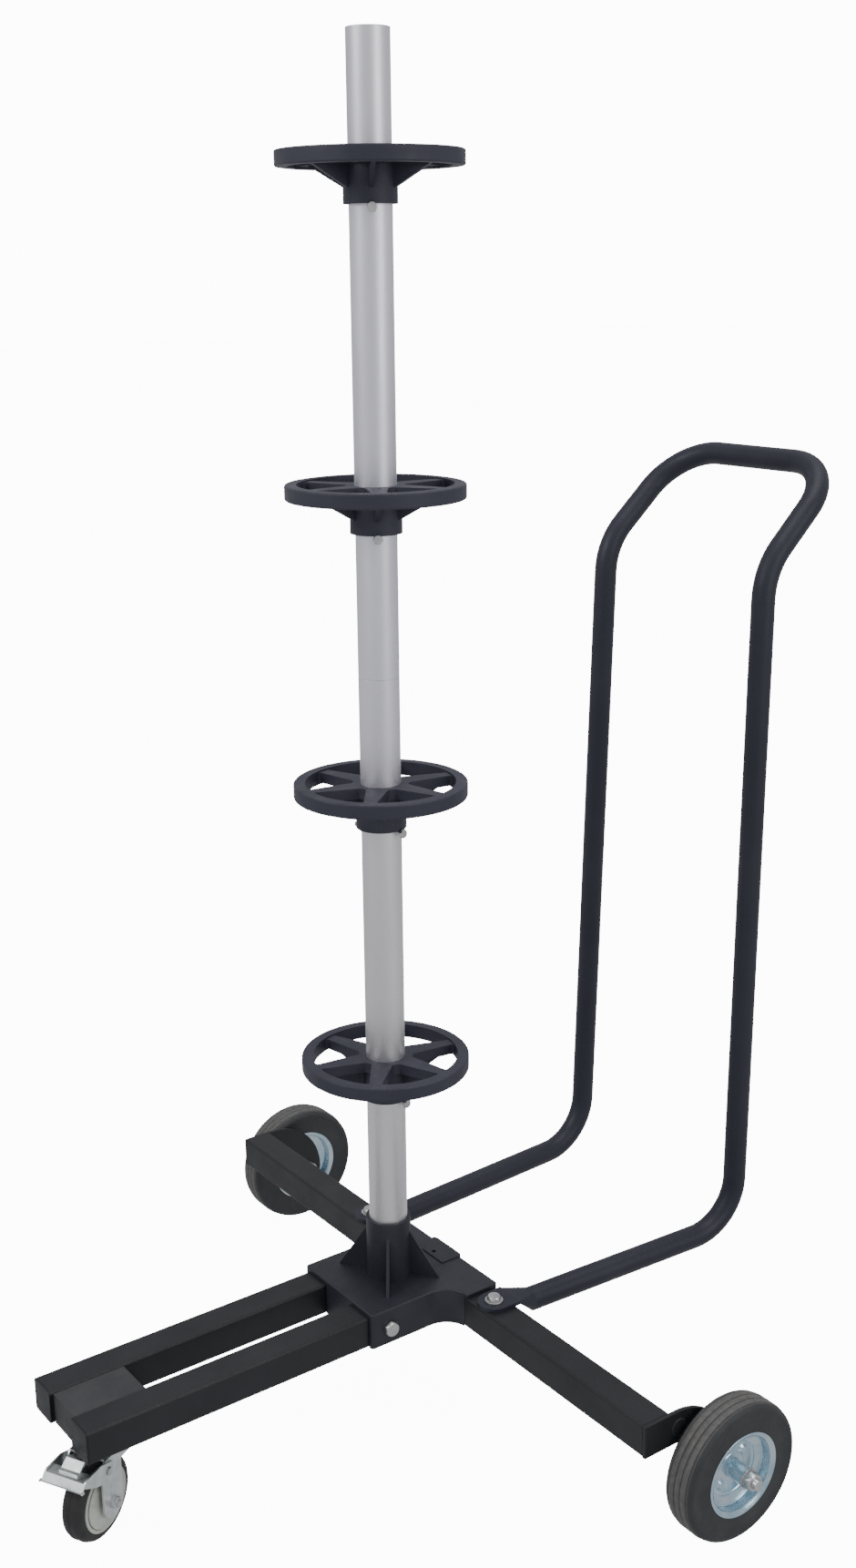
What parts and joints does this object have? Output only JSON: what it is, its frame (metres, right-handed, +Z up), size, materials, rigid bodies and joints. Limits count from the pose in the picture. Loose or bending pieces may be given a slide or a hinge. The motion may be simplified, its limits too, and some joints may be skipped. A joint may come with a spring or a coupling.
{
  "type": "wheel storage tree on a trolley",
  "caption": "Free-standing mast with spoked carrier discs for stored car wheels, on a T-shaped trolley with wheels, a braked castor and a looped push handle.",
  "frame": {"origin": "on the floor, below the centre of the overall box; the mast stands 57.9 mm in front of it", "axes": "+X right, +Y towards the push handle, +Z up along the mast"},
  "size_m": [0.9442, 1.0542, 1.54],
  "materials": {
    "frame_paint": "satin black powder coat, fine orange peel",
    "handle_paint": "satin black powder coat",
    "black_moulding": "charcoal moulded plastic, fine texture",
    "spacer_plastic": "grey moulded plastic",
    "mast_aluminium": "satin anodised tube with light draw lines",
    "inner_steel": "plain steel",
    "zinc_hardware": "bright zinc plate",
    "zinc_rim": "bright zinc plate with a faint blue tint",
    "wheel_rubber": "black rubber with a dusty tread",
    "castor_rubber": "black rubber",
    "castor_zinc": "zinc plated pressed sheet",
    "castor_core_plastic": "light grey moulded plastic"
  },
  "bodies": {
    "frame": {"axle_bolts": "zinc_hardware", "axle_nuts": "zinc_hardware", "axle_washers": "zinc_hardware", "castor_plate_bolts": "zinc_hardware", "castor_plate_nuts": "zinc_hardware", "castor_top_plate": "castor_zinc", "cross_beam": "frame_paint", "disc_pin_bolts": "zinc_hardware", "disc_pin_nuts": "zinc_hardware", "handle_bolts": "zinc_hardware", "handle_lower_left": "handle_paint", "handle_lower_right": "handle_paint", "handle_nuts": "zinc_hardware", "handle_sleeve_left": "inner_steel", "handle_sleeve_right": "inner_steel", "handle_upper_loop": "handle_paint", "handle_washers": "zinc_hardware", "hub_cross_bolt": "zinc_hardware", "hub_cross_nut": "zinc_hardware", "hub_moulding": "black_moulding", "leg_end_cap_left": "black_moulding", "leg_end_cap_right": "black_moulding", "leg_spacer_block": "spacer_plastic", "leg_tube_left": "frame_paint", "leg_tube_right": "frame_paint", "mast_joint_sleeve": "inner_steel", "mast_lower_tube": "mast_aluminium", "mast_upper_tube": "mast_aluminium", "wheel_bracket_left": "frame_paint", "wheel_bracket_right": "frame_paint"},
    "disc_top": {"carrier_disc_1": "black_moulding"},
    "disc_upper": {"carrier_disc_2": "black_moulding"},
    "disc_lower": {"carrier_disc_3": "black_moulding"},
    "disc_bottom": {"carrier_disc_4": "black_moulding"},
    "wheel_left": {"rim_inner_half_left": "zinc_rim", "rim_outer_half_left": "zinc_rim", "rim_rivets_left": "zinc_rim", "wheel_hub_tube_left": "inner_steel", "wheel_tyre_left": "wheel_rubber"},
    "wheel_right": {"rim_inner_half_right": "zinc_rim", "rim_outer_half_right": "zinc_rim", "rim_rivets_right": "zinc_rim", "wheel_hub_tube_right": "inner_steel", "wheel_tyre_right": "wheel_rubber"},
    "castor_swivel": {"castor_balls": "zinc_hardware", "castor_kingpin": "zinc_hardware", "castor_fork": "castor_zinc", "castor_axle_bolt": "zinc_hardware", "castor_axle_nut": "zinc_hardware", "castor_axle_sleeve": "inner_steel", "brake_pivot_pins": "zinc_hardware"},
    "castor_wheel": {"castor_tyre": "castor_rubber", "castor_core": "castor_core_plastic", "castor_covers": "castor_core_plastic"},
    "castor_pedal": {"brake_pedal": "castor_zinc", "brake_release_tab": "castor_zinc"}
  },
  "joints": [
    {"name": "lift_disc_top", "type": "slide", "parent": "frame", "child": "disc_top", "axis": [0, 0, 1], "range_m": [0, 0.156]},
    {"name": "lift_disc_upper", "type": "slide", "parent": "frame", "child": "disc_upper", "axis": [0, 0, 1], "range_m": [0, 0.2714]},
    {"name": "lift_disc_lower", "type": "slide", "parent": "frame", "child": "disc_lower", "axis": [0, 0, 1], "range_m": [0, 0.2654]},
    {"name": "lift_disc_bottom", "type": "slide", "parent": "frame", "child": "disc_bottom", "axis": [0, 0, 1], "range_m": [0, 0.2654]},
    {"name": "wheel_left_spin", "type": "hinge", "parent": "frame", "child": "wheel_left", "pos_m": [-0.4305, 0.08213, 0.08], "axis": [1, 0, 0], "continuous": true},
    {"name": "wheel_right_spin", "type": "hinge", "parent": "frame", "child": "wheel_right", "pos_m": [0.4305, 0.08213, 0.08], "axis": [1, 0, 0], "continuous": true},
    {"name": "castor_swivel_turn", "type": "hinge", "parent": "frame", "child": "castor_swivel", "pos_m": [0, -0.41686, 0.104], "axis": [0, 0, 1], "continuous": true},
    {"name": "castor_wheel_spin", "type": "hinge", "parent": "castor_swivel", "child": "castor_wheel", "pos_m": [0.02488, -0.46366, 0.0475], "axis": [0.8829, 0.4695, 0], "continuous": true},
    {"name": "brake_pedal_press", "type": "hinge", "parent": "castor_swivel", "child": "castor_pedal", "pos_m": [0.02817, -0.46984, 0.091], "axis": [0.8829, 0.4695, 0], "range_deg": [0, 12]}
  ]
}
